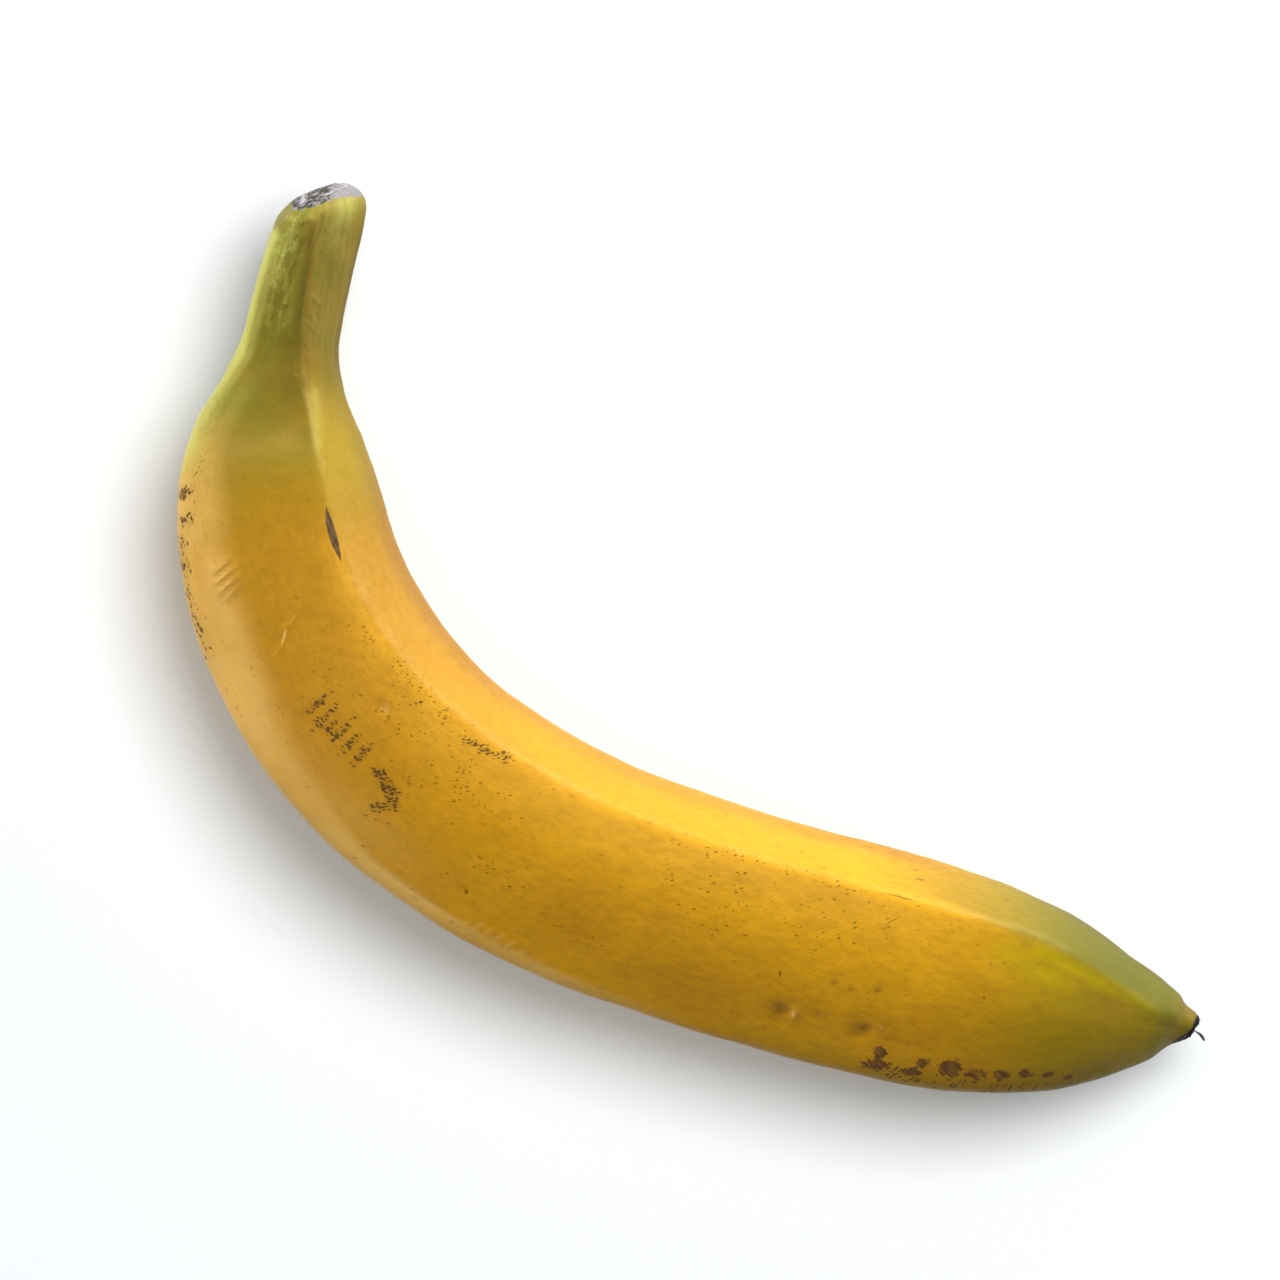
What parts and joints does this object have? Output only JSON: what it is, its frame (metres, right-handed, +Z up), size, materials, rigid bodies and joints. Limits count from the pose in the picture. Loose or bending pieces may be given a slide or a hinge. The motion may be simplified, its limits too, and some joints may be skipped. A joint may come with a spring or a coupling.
{
  "type": "banana",
  "caption": "Single ripe banana lying on its side: a curved five-sided fruit with rounded ridges, tapering from a cut stalk to a small dark blossom tip.",
  "frame": {"origin": "middle of the fruit's box, at the level of the table it lies on", "axes": "+X along the fruit's straight reach from the stalk's cut to the blossom tip, +Y towards the hollow side of its curve, +Z up"},
  "size_m": [0.1862, 0.0758, 0.034],
  "materials": {
    "peel": "satin ripe peel, green at the stalk and the tip"
  },
  "bodies": {
    "root": {"banana": "peel"}
  },
  "joints": []
}
